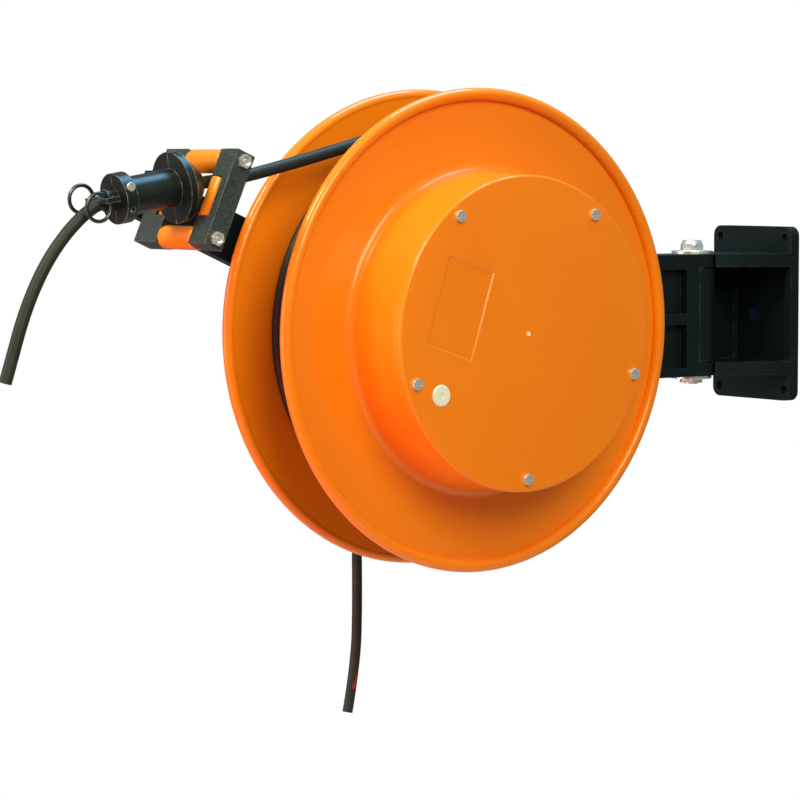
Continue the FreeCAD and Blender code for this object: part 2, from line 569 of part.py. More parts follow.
def guide_strip():
    """Flat bar from the arm's hub out to the roller guide, with its bolts and spacers."""
    flat = frame_at(REEL, (0, 0, 0), GUIDE_TURN)
    length = "guide_radius + 11"
    bar = box(length, "strip_wide", "strip_thick", (0, "-strip_wide/2", "strip_back"))
    eye = cylinder("hub_radius", "strip_thick", (0, 0, "strip_back"))
    bore = cylinder("axle_radius", "strip_thick", (0, 0, "strip_back"))
    bolts = []
    holes = []
    for degrees in (-90, 30, -210):
        x, y = polar("hub_radius - 12", degrees)
        holes.append(cylinder("4.1", "strip_thick", (x, y, "strip_back")))
        shank = cylinder("4", "26 + strip_thick", (x, y, "strip_back - 26"))
        bolts.append(fuse(shank, prism(6, "7.5", "5", (x, y, "strip_back + strip_thick"))))
    screws = []
    spacers = []
    start = "strip_back + strip_thick"
    gap = "drum_middle - %s - (%s)" % (GUIDE_BACK, start)
    for y in ("12", "-12"):
        holes.append(cylinder("3.1", "strip_thick", ("guide_radius", y, "strip_back")))
        spacers.append(tube("7", "3.1", gap, ("guide_radius", y, start)))
        shank = cylinder("3", "strip_thick + %s + back_bar - 2" % gap, ("guide_radius", y, "strip_back"))
        screws.append(fuse(shank, prism(6, "5.77", "4", ("guide_radius", y, "strip_back - 4"))))
    sub_part("guide_arm", cut(fuse(bar, eye), bore, *holes), flat)
    sub_part("arm_bolts", group(*bolts), flat)
    sub_part("guide_spacers", group(*spacers), flat)
    sub_part("spacer_screws", group(*screws), flat)


def guide_brackets():
    """Two C-shaped brackets that face each other and hold the roller pins."""
    block_deep = "guide_half - slim_pitch + 5"
    wide, half = "guide_deep", "guide_long/2"
    for name, side in (("guide_bracket_front", 1), ("guide_bracket_back", -1)):
        low = "guide_half - guide_bar" if side > 0 else "-" + GUIDE_BACK
        thick = "guide_bar" if side > 0 else "back_bar"
        bar = box(wide, "guide_long", thick, ("-guide_deep/2", "-" + half, low))
        depth_at = "guide_half - (%s)" % block_deep if side > 0 else "-guide_half"
        blocks = [box(wide, "block_long", block_deep, ("-guide_deep/2", y, depth_at))
                  for y in ("-" + half, half + " - block_long")]
        holes = []
        for y in ("roller_pitch", "-roller_pitch"):
            holes.append(cylinder("pin_radius", "guide_half + " + GUIDE_BACK, (0, y, "-" + GUIDE_BACK)))
        slim = "slim_pitch" if side > 0 else "-slim_pitch"
        holes.append(cylinder("pin_radius - 0.5", "2*" + PIN_HALF, (0, "-" + PIN_HALF, slim), ALONG_Y))
        if side < 0:
            holes += [cylinder("3", "back_bar", (0, y, "-" + GUIDE_BACK)) for y in ("12", "-12")]
        sub_part(name, cut(fuse(bar, *blocks), *holes), GUIDE)


def guide_rollers():
    """Two rollers across the guide and two along it, each on its own pin."""
    long_pins = []
    for name, y in (("roller_bottom", "roller_pitch"), ("roller_top", "-roller_pitch")):
        inner = "guide_half - (guide_half - slim_pitch + 5) - 0.4"
        at = (0, y, "-(%s)" % inner)
        sub_part(name, tube("roller_radius", "pin_radius + run_clear", "2*(%s)" % inner, at), GUIDE)
        head = prism(6, "5.77", "4", (0, y, "guide_half"))
        socket = tube("3.6", "2.1", "2.6", (0, y, "guide_half + 1.4"))
        nut = prism(6, "5.77", "4", (0, y, "-%s - 4" % GUIDE_BACK))
        rod = cylinder("pin_radius", "guide_half + " + GUIDE_BACK, (0, y, "-" + GUIDE_BACK))
        long_pins.append(cut(fuse(rod, head, nut), socket))
    sub_part("guide_bolts", group(*long_pins), GUIDE)
    slim_pins = []
    reach = "(guide_long/2 - block_long - 0.4)"
    for name, z in (("roller_front", "slim_pitch"), ("roller_back", "-slim_pitch")):
        at = (0, "-" + reach, z)
        bore = "pin_radius - 0.5 + run_clear"
        sub_part(name, tube("slim_radius", bore, "2*" + reach, at, ALONG_Y), GUIDE)
        slim_pins.append(cylinder("pin_radius - 0.5", "2*" + PIN_HALF, (0, "-" + PIN_HALF, z), ALONG_Y))
    sub_part("roller_pins", group(*slim_pins), GUIDE)


def cable_stop():
    """Cable stop clamped on the cable: two halves, their screws, the collar and the pull rings."""
    body = [cone("13", "stop_flange - 1", "stop_cone", ("-stop_rim - stop_cone", 0, 0), ALONG_X),
            cylinder("stop_flange", "stop_rim", ("-stop_rim", 0, 0), ALONG_X),
            cylinder("stop_barrel", "stop_long", (0, 0, 0), ALONG_X),
            cylinder("stop_tail", "stop_tail_thick", ("stop_long - stop_tail_thick", 0, 0), ALONG_X)]
    total = "stop_rim + stop_cone + stop_long"
    start = "-stop_rim - stop_cone"
    middle = "stop_long - stop_tail_thick/2"
    screws = []
    for name, side in (("stop_half_front", 1), ("stop_half_back", -1)):
        bore = cylinder("cable_radius", total, (start, 0, 0), ALONG_X)
        drill = [cylinder("2", "2*stop_tail", (middle, y, "-stop_tail")) for y in ("9", "-9")]
        drill += [cylinder("3.7", "4", (middle, y, z)) for y, z in (("-9", "18"), ("9", "-22"))]
        height = "(stop_flange + 1)"
        keep = (start, "-" + height, "stop_split" if side > 0 else "-stop_split - 30")
        half = box(total, "2*" + height, "30", keep)
        sub_part(name, common(cut(fuse(*body), bore, *drill), half), STOP)
        face = "18" if side > 0 else "-18"
        y = "-9" if side > 0 else "9"
        shank = cylinder("2", "32", (middle, y, "-14" if side > 0 else "-18"))
        head = cylinder("3.5", "2.4", (middle, y, face if side > 0 else "-20.4"))
        screws.append(fuse(shank, head))
    sub_part("stop_screws", group(*screws), STOP)
    collar = cylinder("9", "9", ("stop_long", 0, 0), ALONG_X)
    ears = box("12", "4", "32", ("stop_long + 4", "-3", "-16"))
    bore = cylinder("cable_radius + 0.6", "24", ("stop_long", 0, 0), ALONG_X)
    loops = [cylinder("3", "20", ("stop_long + 11.5", "-10", z), ALONG_Y) for z in ("12", "-12")]
    sub_part("ring_collar", cut(fuse(collar, ears), bore, *loops), STOP)
    wire = "ring_outer - ring_wire"
    hook = "stop_long + 11.5 + " + wire
    rings = [torus(wire, "ring_wire", (hook + " - 0.6", y, z)) for y, z in (("2.8", "12"), ("-3.4", "-12"))]
    sub_part("pull_rings", group(*rings), STOP)


def terminal_pieces():
    """Terminal box behind the arm, with its cover, screws, block and the supply cable's gland."""
    back = "(arm_half + box_deep)"
    tall = "box_top + box_bottom"
    shell = box("box_wide", tall, "box_deep", ("-box_wide/2", "-box_bottom", "-" + back))
    room = box("box_wide - 2*box_wall", tall + " - 2*box_wall", "box_deep - box_wall",
               ("box_wall - box_wide/2", "box_wall - box_bottom", "-" + back))
    axle_hole = cylinder("axle_radius", "box_wall", (0, 0, "-arm_half - box_wall"))
    posts = []
    holes = []
    screws = []
    for x in ("box_wide/2 - 6", "6 - box_wide/2"):
        for y in ("box_top - 6", "6 - box_bottom"):
            posts.append(cylinder("4.5", "box_deep", (x, y, "-" + back)))
            holes.append(cylinder("2", "14 + box_wall", (x, y, "-%s - box_wall" % back)))
            shank = cylinder("2", "13 + box_wall", (x, y, "-%s - box_wall" % back))
            screws.append(fuse(shank, cylinder("3.6", "2.2", (x, y, "-%s - box_wall - 2.2" % back))))
    inlet = ("supply_side", "-box_bottom - 1", "-supply_deep")
    entry = cylinder("8", "box_wall + 2", inlet, ALONG_Y)
    sub_part("terminal_box", cut(fuse(cut(shell, room), *posts), axle_hole, entry, *holes), REEL)
    lid = box("box_wide", tall, "box_wall", ("-box_wide/2", "-box_bottom", "-%s - box_wall" % back))
    sub_part("terminal_cover", cut(lid, *holes), REEL)
    sub_part("terminal_screws", group(*screws), REEL)
    sub_part("terminal_block", box("36", "16", "18", ("-18", "8", "-arm_half - box_wall - 16 - 18")), REEL)
    bore = cylinder("supply_radius", "60", ("supply_side", "-box_bottom - 40", "-supply_deep"), ALONG_Y)
    neck = cylinder("8", "box_wall + 4", ("supply_side", "-box_bottom", "-supply_deep"), ALONG_Y)
    turn = FreeCAD.Rotation(FreeCAD.Vector(1, 0, 0), -90)
    flats = prism(6, "gland_flats/1.732", "6", ("supply_side", "-box_bottom - 6", "-supply_deep"), turn)
    thread = cylinder("8", "12", ("supply_side", "-box_bottom - 18", "-supply_deep"), ALONG_Y)
    sub_part("supply_gland", cut(fuse(neck, flats, thread), bore), REEL)
    low = ("supply_side", "-box_bottom - 20", "-supply_deep")
    nut = fuse(prism(6, "gland_flats/1.732", "12", low, turn),
               cone("7", "10", "6", ("supply_side", "-box_bottom - 26", "-supply_deep"), turn))
    hollow = cylinder("8", "12", ("supply_side", "-box_bottom - 18", "-supply_deep"), ALONG_Y)
    sub_part("gland_nut", cut(nut, hollow, bore), REEL)


def cord_path(points, radii):
    """Straight runs joined by tangent arcs; a corner's radius is its own or 0.45 of the shorter run."""
    places = [FreeCAD.Vector(*point) for point in points]
    edges = []
    last = places[0]
    length = 0.0
    for index in range(1, len(places) - 1):
        before = places[index] - places[index - 1]
        after = places[index + 1] - places[index]
        half_turn = before.getAngle(after) / 2
        tangent = 0.45 * min(before.Length, after.Length)
        radius = radii.get(index, tangent / math.tan(half_turn))
        tangent = radius * math.tan(half_turn)
        before.normalize()
        after.normalize()
        start = places[index] - before * tangent
        end = places[index] + after * tangent
        inward = after - before
        inward.normalize()
        sagitta = radius / math.cos(half_turn) - radius
        edges.append(Part.LineSegment(last, start).toShape())
        edges.append(Part.Arc(start, places[index] + inward * sagitta, end).toShape())
        last = end
        print("  corner %d: radius %.0f, turn %.1f deg" % (index, radius, math.degrees(2 * half_turn)))
    edges.append(Part.LineSegment(last, places[-1]).toShape())
    for edge in edges:
        length += edge.Length
    return Part.Wire(edges), length


def cord(name, points, radius, radii=None):
    """One plain tube along a cord's route, checked against its section times its length."""
    print(name)
    path, length = cord_path(points, radii or {})
    start = FreeCAD.Vector(*points[0])
    aim = FreeCAD.Vector(*points[1]) - start
    section = Part.Wire(Part.makeCircle(radius, start, aim))
    solid = path.makePipeShell([section], True, False)
    expected = math.pi * radius ** 2 * length
    print("  length %.1f mm, volume ratio %.4f" % (length, solid.Volume / expected))
    if abs(solid.Volume / expected - 1) > 0.01:
        raise RuntimeError("the tube of %s has the wrong volume" % name)
    sub_part(name, shape_of(solid), REEL)


def taut_run():
    """Where the cable leaves the coil, the point where it reaches the guide, and the stop's mouth."""
    guide = FreeCAD.Vector(-200.0, 127.5, 83.8)
    mouth = STOP_FACE - STOP_AXIS * 30.0
    wrap = number(COIL_RADIUS) + number("cable_radius") + 7.1
    reach = math.hypot(guide.x, guide.y)
    rise = math.atan2(-guide.y, -guide.x) + math.asin(wrap / reach)
    free = math.sqrt(reach ** 2 - wrap ** 2)
    leave = (guide.x + free * math.cos(rise), guide.y + free * math.sin(rise), 66.0)
    return leave, tuple(guide), tuple(mouth)


def cables():
    """The cable from the coil through guide and stop to its cut end, and the supply cable."""
    tail = [(-345.0, 108.8), (-359.5, 100.2), (-371.5, 90.0), (-383.0, 77.8), (-393.5, 64.0),
            (-402.8, 48.6), (-410.9, 32.0), (-418.2, 13.6), (-424.4, -6.0), (-431.6, -28.0)]
    route = [*taut_run()] + [(x, y, STOP_FACE.z) for x, y in tail]
    cord("cable_run", route, number("cable_radius"))
    side, deep = number("supply_side"), -number("supply_deep")
    exit_at = -number("box_bottom") - 26
    hang = [(side, exit_at, deep), (side + 0.6, -120.0, deep + 0.5), (side - 0.6, -185.0, deep),
            (side + 0.4, -245.0, deep - 0.5), (side - 1.6, -296.0, deep), (-12.7, -339.3, deep)]
    cord("supply_cable", hang, number("supply_radius"))


def inner_lead():
    """Lead from the coil through the core's gland to the brush block, and the gland."""
    level = number(GLAND_LEVEL)
    wall = -number("core_radius")
    collar = tube("8", "cable_radius", "2*sheet_thick - 0.4", (0, "-core_radius + 0.4", level), ALONG_Y)
    rim = tube("10.5", "cable_radius", "3", (0, "-core_radius + 2*sheet_thick", level), ALONG_Y)
    sub_part("drum_gland", fuse(collar, rim), REEL)
    holder_face = number("ring_radius + 6") + 28
    route = [(0, wall + 1, level), (0, wall + 34, level - 1), (10, wall + 64, level - 7),
             (34, wall + 90, level - 15), (holder_face, -12, level - 22)]
    cord("inner_lead", route, number("cable_radius"))


wall_bracket()
bore_cap()
hinge_pieces()
swivel_arm()
axle_pieces()
slip_ring_pieces()
drum_back()
drum_front()
drum_fixings()
spring_cover()
cover_trim()
mainspring()
cable_coil()
ratchet()
guide_strip()
guide_brackets()
guide_rollers()
cable_stop()
terminal_pieces()
cables()
inner_lead()

DOC.recompute()
for item in DOC.Objects:
    if "Invalid" in item.State or "Error" in item.State:
        raise RuntimeError("failed: %s %s" % (item.Name, item.State))
for piece in PARTS:
    if piece.Shape.isNull() or not piece.Shape.isValid():
        raise RuntimeError("bad shape: " + piece.Label)
os.makedirs("parts", exist_ok=True)
for piece in PARTS:
    piece.Shape.exportStep("parts/%s.step" % piece.Label)
print("%d sub-parts written" % len(PARTS))
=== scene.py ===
# %% [markdown]
# # A spring-return cable reel on its wall bracket
# The reel hangs from a wall plate by a swivelling cast arm. A painted drum holds the cable, a spring
# housing on its front winds it in, and a roller guide leads it out to a clamped-on stop. Sizes and
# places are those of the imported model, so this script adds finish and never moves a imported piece.

# %% Load the frame
import json
import math

import bmesh
import bpy
import numpy as np
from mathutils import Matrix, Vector

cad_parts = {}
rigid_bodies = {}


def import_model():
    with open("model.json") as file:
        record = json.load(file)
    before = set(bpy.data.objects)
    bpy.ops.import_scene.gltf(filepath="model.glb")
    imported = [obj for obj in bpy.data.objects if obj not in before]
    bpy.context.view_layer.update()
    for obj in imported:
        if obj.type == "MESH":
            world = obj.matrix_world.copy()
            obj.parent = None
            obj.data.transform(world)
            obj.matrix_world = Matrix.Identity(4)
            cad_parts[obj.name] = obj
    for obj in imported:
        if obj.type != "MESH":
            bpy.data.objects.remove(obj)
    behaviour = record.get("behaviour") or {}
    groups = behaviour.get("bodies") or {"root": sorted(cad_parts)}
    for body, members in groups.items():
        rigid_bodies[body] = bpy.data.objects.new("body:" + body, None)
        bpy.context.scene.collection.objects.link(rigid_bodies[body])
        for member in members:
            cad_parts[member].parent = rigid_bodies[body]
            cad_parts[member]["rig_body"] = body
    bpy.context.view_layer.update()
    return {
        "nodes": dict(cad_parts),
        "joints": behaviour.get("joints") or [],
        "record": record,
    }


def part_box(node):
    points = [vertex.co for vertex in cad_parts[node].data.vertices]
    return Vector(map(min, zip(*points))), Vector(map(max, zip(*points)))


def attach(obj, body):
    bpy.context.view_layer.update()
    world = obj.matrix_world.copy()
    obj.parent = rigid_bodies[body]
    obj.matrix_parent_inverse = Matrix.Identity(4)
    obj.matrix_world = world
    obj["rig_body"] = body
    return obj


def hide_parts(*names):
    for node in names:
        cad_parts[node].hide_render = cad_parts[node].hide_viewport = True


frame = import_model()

nodes = frame["nodes"]
joints = {joint["name"]: joint for joint in frame["joints"]}

# %% [markdown]
# ## Camera, light and floor
# A studio picture of a glossy object is mostly a picture of its lights. The eye stands in front and to
# the left, a little above the middle. A long lens keeps the two flanges nearly the same size.

# %% Places in the reel's own frame
REEL_X, _, REEL_Z = joints["drum_spin"]["pos_m"]
MM = 0.001


def reel(points):
    """Millimetres right, up and forward of the drum's axis, as metres in the model's frame.

    Forward is -Y and up is +Z, so the three numbers are swapped and shifted to the axis."""
    right, up, forward = np.moveaxis(np.asarray(points, float) * MM, -1, 0)
    return np.stack([REEL_X + right, -forward, REEL_Z + up], -1)


# %% Camera
EYE = (-2.1086, -2.2712, 0.1383)
AZIMUTH, ELEVATION = math.radians(-36.674), math.radians(4.095)
TOWARDS_EYE = Vector((math.sin(AZIMUTH) * math.cos(ELEVATION),
                      -math.cos(AZIMUTH) * math.cos(ELEVATION),
                      math.sin(ELEVATION)))
SIDEWAYS = Vector((math.cos(AZIMUTH), math.sin(AZIMUTH), 0))

camera = bpy.data.objects.new("camera", bpy.data.cameras.new("camera"))
camera.data.lens = 149
camera.data.sensor_width = 36
camera.location = EYE
camera.rotation_mode = "QUATERNION"
camera.rotation_quaternion = (-TOWARDS_EYE).to_track_quat("-Z", "Y")
bpy.context.scene.collection.objects.link(camera)
bpy.context.scene.camera = camera
bpy.context.scene.view_settings.view_transform = "Standard"
print("camera", tuple(round(x, 3) for x in camera.location))


# %% Soft lamps
def lamp(name, towards_eye, right, up, width, height, watts, tint=(1, 1, 1)):
    """A rectangular lamp aimed at the drum, placed by distances along the eye's own directions."""
    target = Vector((REEL_X, -0.1, 0))
    light = bpy.data.lights.new(name, "AREA")
    light.shape = "RECTANGLE"
    light.size, light.size_y = width, height
    light.energy = watts
    light.color = tint
    holder = bpy.data.objects.new(name, light)
    holder.location = target + TOWARDS_EYE * towards_eye + SIDEWAYS * right + Vector((0, 0, up))
    holder.rotation_mode = "QUATERNION"
    holder.rotation_quaternion = (target - holder.location).to_track_quat("-Z", "Y")
    bpy.context.scene.collection.objects.link(holder)


lamp("key_lamp", 1.2, -1.6, 2.1, 0.8, 0.8, 66, (0.92, 1.0, 0.58))
lamp("front_lamp", 2.6, 0.9, 1.4, 1.6, 1.6, 76, (1.0, 1.0, 0.60))
lamp("low_lamp", 1.4, -1.4, -1.2, 1.2, 0.8, 24, (1.0, 0.12, 0.20))
lamp("top_lamp", -0.4, 0.5, 2.2, 1.2, 1.2, 60, (0.30, 0.66, 1.0))
lamp("side_lamp", 0.9, -2.2, 0.1, 0.5, 1.8, 14, (1.0, 0.62, 0.55))
lamp("edge_lamp", 0.2, -2.3, 0.3, 0.12, 1.6, 12)


# %% White surroundings
COLOUR_A, COLOUR_B, COLOUR_OUT = 6, 7, 2  # a Mix node's colour sockets share their names with others
DIM_BELOW, BRIGHT_ABOVE = -0.6, 0.5


def surroundings(above, below):
    """White where the eye looks past the object; where the object mirrors it, dim and warm underfoot."""
    world = bpy.data.worlds.new("studio")
    bpy.context.scene.world = world
    world.use_nodes = True
    links, shaders = world.node_tree.links, world.node_tree.nodes
    place = shaders.new("ShaderNodeTexCoord")
    height = shaders.new("ShaderNodeSeparateXYZ")
    rise = shaders.new("ShaderNodeMapRange")
    rise.inputs["From Min"].default_value = DIM_BELOW
    rise.inputs["From Max"].default_value = BRIGHT_ABOVE
    felt, seen = (shaders.new("ShaderNodeMix") for _ in range(2))
    felt.data_type = seen.data_type = "RGBA"
    path = shaders.new("ShaderNodeLightPath")
    links.new(place.outputs["Generated"], height.inputs["Vector"])
    links.new(height.outputs["Z"], rise.inputs["Value"])
    links.new(rise.outputs["Result"], felt.inputs["Factor"])
    felt.inputs[COLOUR_A].default_value = (*below, 1)
    felt.inputs[COLOUR_B].default_value = (*above, 1)
    links.new(path.outputs["Is Camera Ray"], seen.inputs["Factor"])
    links.new(felt.outputs[COLOUR_OUT], seen.inputs[COLOUR_A])
    seen.inputs[COLOUR_B].default_value = (1, 1, 1, 1)
    links.new(seen.outputs[COLOUR_OUT], shaders["Background"].inputs["Color"])


surroundings((0.30, 0.32, 0.30), (0.12, 0.085, 0.07))


# %% Shader expressions
class Signal:
    """One shader value. An expression on it adds the Math nodes that work it out."""

    def __init__(self, paint, socket):
        self.paint, self.socket = paint, socket

    def maths(self, operation, *terms):
        return self.paint.node("ShaderNodeMath", {"operation": operation}, dict(enumerate(terms)))

    def __add__(self, other):
        return self.maths("ADD", self, other)

    def __sub__(self, other):
        return self.maths("SUBTRACT", self, other)

    def __rsub__(self, other):
        return self.maths("SUBTRACT", other, self)

    def __mul__(self, other):
        return self.maths("MULTIPLY", self, other)

    def __gt__(self, other):
        return self.maths("GREATER_THAN", self, other)

    def __lt__(self, other):
        return self.maths("LESS_THAN", self, other)

    __radd__ = __add__
    __rmul__ = __mul__


class Paint:
    """A material around one Principled shader, whose constants are set on its own sockets."""

    def __init__(self, name, **constants):
        self.material = bpy.data.materials.new(name)
        self.material.use_nodes = True
        self.tree = self.material.node_tree
        self.shader = self.tree.nodes["Principled BSDF"]
        for socket, value in constants.items():
            self.shader.inputs[socket.replace("_", " ")].default_value = value
        self.place = self.node("ShaderNodeTexCoord", {}, {}, "Object")

    def node(self, kind, settings, inputs, output=0):
        """Any node: its settings first, then the values or links of its sockets."""
        made = self.tree.nodes.new(kind)
        for key, value in settings.items():
            setattr(made, key, value)
        for key, value in inputs.items():
            self.join(value, made.inputs[key])
        return Signal(self, made.outputs[output])

    def join(self, value, socket):
        if isinstance(value, Signal):
            self.tree.links.new(value.socket, socket)
        else:
            socket.default_value = value

    def feed(self, **values):
        """Connect or set sockets of the Principled shader."""
        for key, value in values.items():
            self.join(value, self.shader.inputs[key.replace("_", " ")])
        return self

    def noise(self, scale, detail=2.0, roughness=0.5, place=None):
        """Cloudy values from 0 to 1; scale counts clouds in a metre."""
        inputs = {"Vector": place or self.place, "Scale": scale, "Detail": detail, "Roughness": roughness}
        return self.node("ShaderNodeTexNoise", {}, inputs, "Fac")

    def mix(self, factor, first, second):
        """A colour between two colours."""
        inputs = {0: factor, COLOUR_A: first, COLOUR_B: second}
        return self.node("ShaderNodeMix", {"data_type": "RGBA"}, inputs, COLOUR_OUT)

    def ramp(self, value, low, high):
        """0 below low, 1 above high and a straight slope between."""
        inputs = {"Value": value, "From Min": low, "From Max": high}
        return self.node("ShaderNodeMapRange", {}, inputs)

    def bump(self, height, strength, distance):
        """A surface normal tilted by a height map; distance is in metres."""
        inputs = {"Height": height, "Strength": strength, "Distance": distance}
        return self.node("ShaderNodeBump", {}, inputs)

    def edges(self, radius, low, high):
        """1 on sharp edges and 0 on faces: where a rounded normal leaves the true one."""
        soft = self.node("ShaderNodeBevel", {"samples": 4}, {"Radius": radius})
        true = self.node("ShaderNodeNewGeometry", {}, {}, "Normal")
        same = self.node("ShaderNodeVectorMath", {"operation": "DOT_PRODUCT"}, {0: soft, 1: true}, "Value")
        return self.ramp(1 - same, low, high)


# %% [markdown]
# ## Painted steel and cast iron
# The drum is spun sheet steel under a thick gloss coat. The coat levels out, so it has only the faint
# waviness of sprayed paint. The bracket and arm are sand castings under thinner black enamel, which
# shows the casting's grain. Their sharp edges are painted a paler grey: partly rubbed wear, partly a
# painted highlight along the edge.

# %% Drum paint
def orange_paint():
    """Gloss orange with faint waviness and slightly duller, paler clouds."""
    paint = Paint("orange_paint", Coat_Roughness=0.07, Coat_IOR=1.5, Specular_IOR_Level=0.2)
    clouds = paint.noise(7, 3)
    peel = paint.noise(420, 2, 0.6)
    colour = paint.mix(clouds, (0.82, 0.185, 0.003, 1), (0.90, 0.225, 0.004, 1))
    paint.feed(Base_Color=colour, Roughness=0.34 + 0.08 * clouds, Coat_Weight=0.40 + 0.1 * clouds)
    paint.feed(Normal=paint.bump(peel, 0.10, 0.0004))
    return paint.material


# %% Black enamel on castings
def black_casting():
    """Black enamel over cast grain; its edges are painted thin grey, partly wear and partly a painted
    highlight.
    """
    paint = Paint("black_casting", Specular_Tint=(0.55, 0.85, 1.0, 1), Specular_IOR_Level=0.2)
    grain = paint.noise(700, 4, 0.6)
    clouds = paint.noise(22, 3)
    # pale grey on sharp edges: partly rubbed wear, partly a painted edge highlight
    wear_and_highlight = paint.edges(0.0012, 0.04, 0.5) * paint.ramp(paint.noise(130, 4, 0.7), 0.42, 0.62)
    colour = paint.mix(clouds, (0.002, 0.005, 0.006, 1), (0.007, 0.012, 0.014, 1))
    paint.feed(Base_Color=paint.mix(wear_and_highlight * 0.6, colour, (0.16, 0.17, 0.18, 1)))
    paint.feed(Roughness=0.30 + 0.14 * clouds, Normal=paint.bump(grain, 0.18, 0.0003))
    return paint.material


# %% [markdown]
# ## Metals
# Zinc plate is a pale, slightly cloudy metal. Ground pins and races are greyer and more polished, and
# spring steel is dark. Brass and bronze are warm.

# %% One recipe for bare metals
def metal(name, dark, light, roughness, grain_scale, grain_strength, metallic=1.0):
    """A metal whose colour and polish drift between two values, under fine grain."""
    paint = Paint(name, Metallic=metallic)
    clouds = paint.noise(90, 4, 0.65)
    grain = paint.noise(grain_scale, 3, 0.6)
    paint.feed(Base_Color=paint.mix(clouds, (*dark, 1), (*light, 1)))
    paint.feed(Roughness=roughness + 0.16 * clouds - 0.05 * grain)
    paint.feed(Normal=paint.bump(grain, grain_strength, 0.0002))
    return paint.material


# %% [markdown]
# ## Plastics and rubber
# The guide's brackets are glass-filled nylon: dark slate grey and speckled. Their edges, like the
# stop's, are painted paler: partly worn, partly a painted highlight along the edge.
# The stop is smoother black plastic. Rollers are turned orange plastic. The cable's jacket is satin
# rubber with fine scuffs.

# %% One recipe for moulded plastics
def plastic(name, dark, light, roughness, grain_scale, grain_strength, wear_and_highlight=0.0, worn_and_highlit=(0.3, 0.31, 0.32),
            shine=0.5, contrast=0.5):
    """Moulded plastic: two close colours in clouds, spark-eroded grain, optional pale edges of wear and
    painted highlight.
    """
    paint = Paint(name, Specular_IOR_Level=shine)
    clouds = paint.noise(35, 3)
    speckle = paint.noise(grain_scale, 4, 0.7)
    spots = paint.ramp(speckle, 0.5 - contrast, 0.5 + contrast)
    colour = paint.mix(0.4 * clouds + 0.6 * spots, (*dark, 1), (*light, 1))
    if wear_and_highlight:
        # pale sharp edges: partly rubbed wear, partly a painted edge highlight
        rubbed_and_highlit = paint.edges(0.0011, 0.03, 0.4) * paint.ramp(paint.noise(260, 4, 0.7), 0.38, 0.6)
        colour = paint.mix(rubbed_and_highlit * wear_and_highlight, colour, (*worn_and_highlit, 1))
    paint.feed(Base_Color=colour, Roughness=roughness + 0.12 * clouds)
    paint.feed(Normal=paint.bump(speckle, grain_strength, 0.0003))
    return paint.material


# %% Cable jacket
def jacket(name, scuff_roughness):
    """Satin black rubber, slightly green-grey, with fine scuffs: its paint and its plain colour."""
    paint = Paint(name, Specular_IOR_Level=0.25)
    clouds = paint.noise(60, 4, 0.6)
    scuffs = paint.noise(900, 3, scuff_roughness)
    colour = paint.mix(clouds, (0.010, 0.012, 0.012, 1), (0.028, 0.032, 0.032, 1))
    paint.feed(Base_Color=colour, Roughness=0.42 + 0.16 * clouds)
    paint.feed(Normal=paint.bump(scuffs, 0.12, 0.0002))
    return paint, colour


# %% A red mark printed along the supply cable
MARK_TOP, MARK_LOW, MARK_EDGE = -0.2845, -0.3185, 0.0012
MARK_LEVEL, MARK_SHIFT, MARK_LEAN = -0.296, -0.0036, 0.38
DASHES, GAP, GAP_INK, RED = 420, 0.3, 0.55, (0.45, 0.01, 0.012, 1)


def marked_rubber():
    """The jacket again, with a broken red line printed along one side near its end."""
    paint, colour = jacket("marked_rubber", 0.5)
    across = paint.node("ShaderNodeSeparateXYZ", {}, {0: paint.place}, "X")
    height = paint.node("ShaderNodeSeparateXYZ", {}, {0: paint.place}, "Z")
    middle = REEL_X + MARK_SHIFT + MARK_LEAN * (height - MARK_LEVEL)
    count = height * DASHES
    dashes = count.maths("FRACT", count) > GAP
    inside = (height < MARK_TOP) * (height > MARK_LOW) * (across > middle + MARK_EDGE)
    broken = inside * (GAP_INK + (1 - GAP_INK) * dashes)
    paint.feed(Base_Color=paint.mix(broken, colour, RED))
    return paint.material


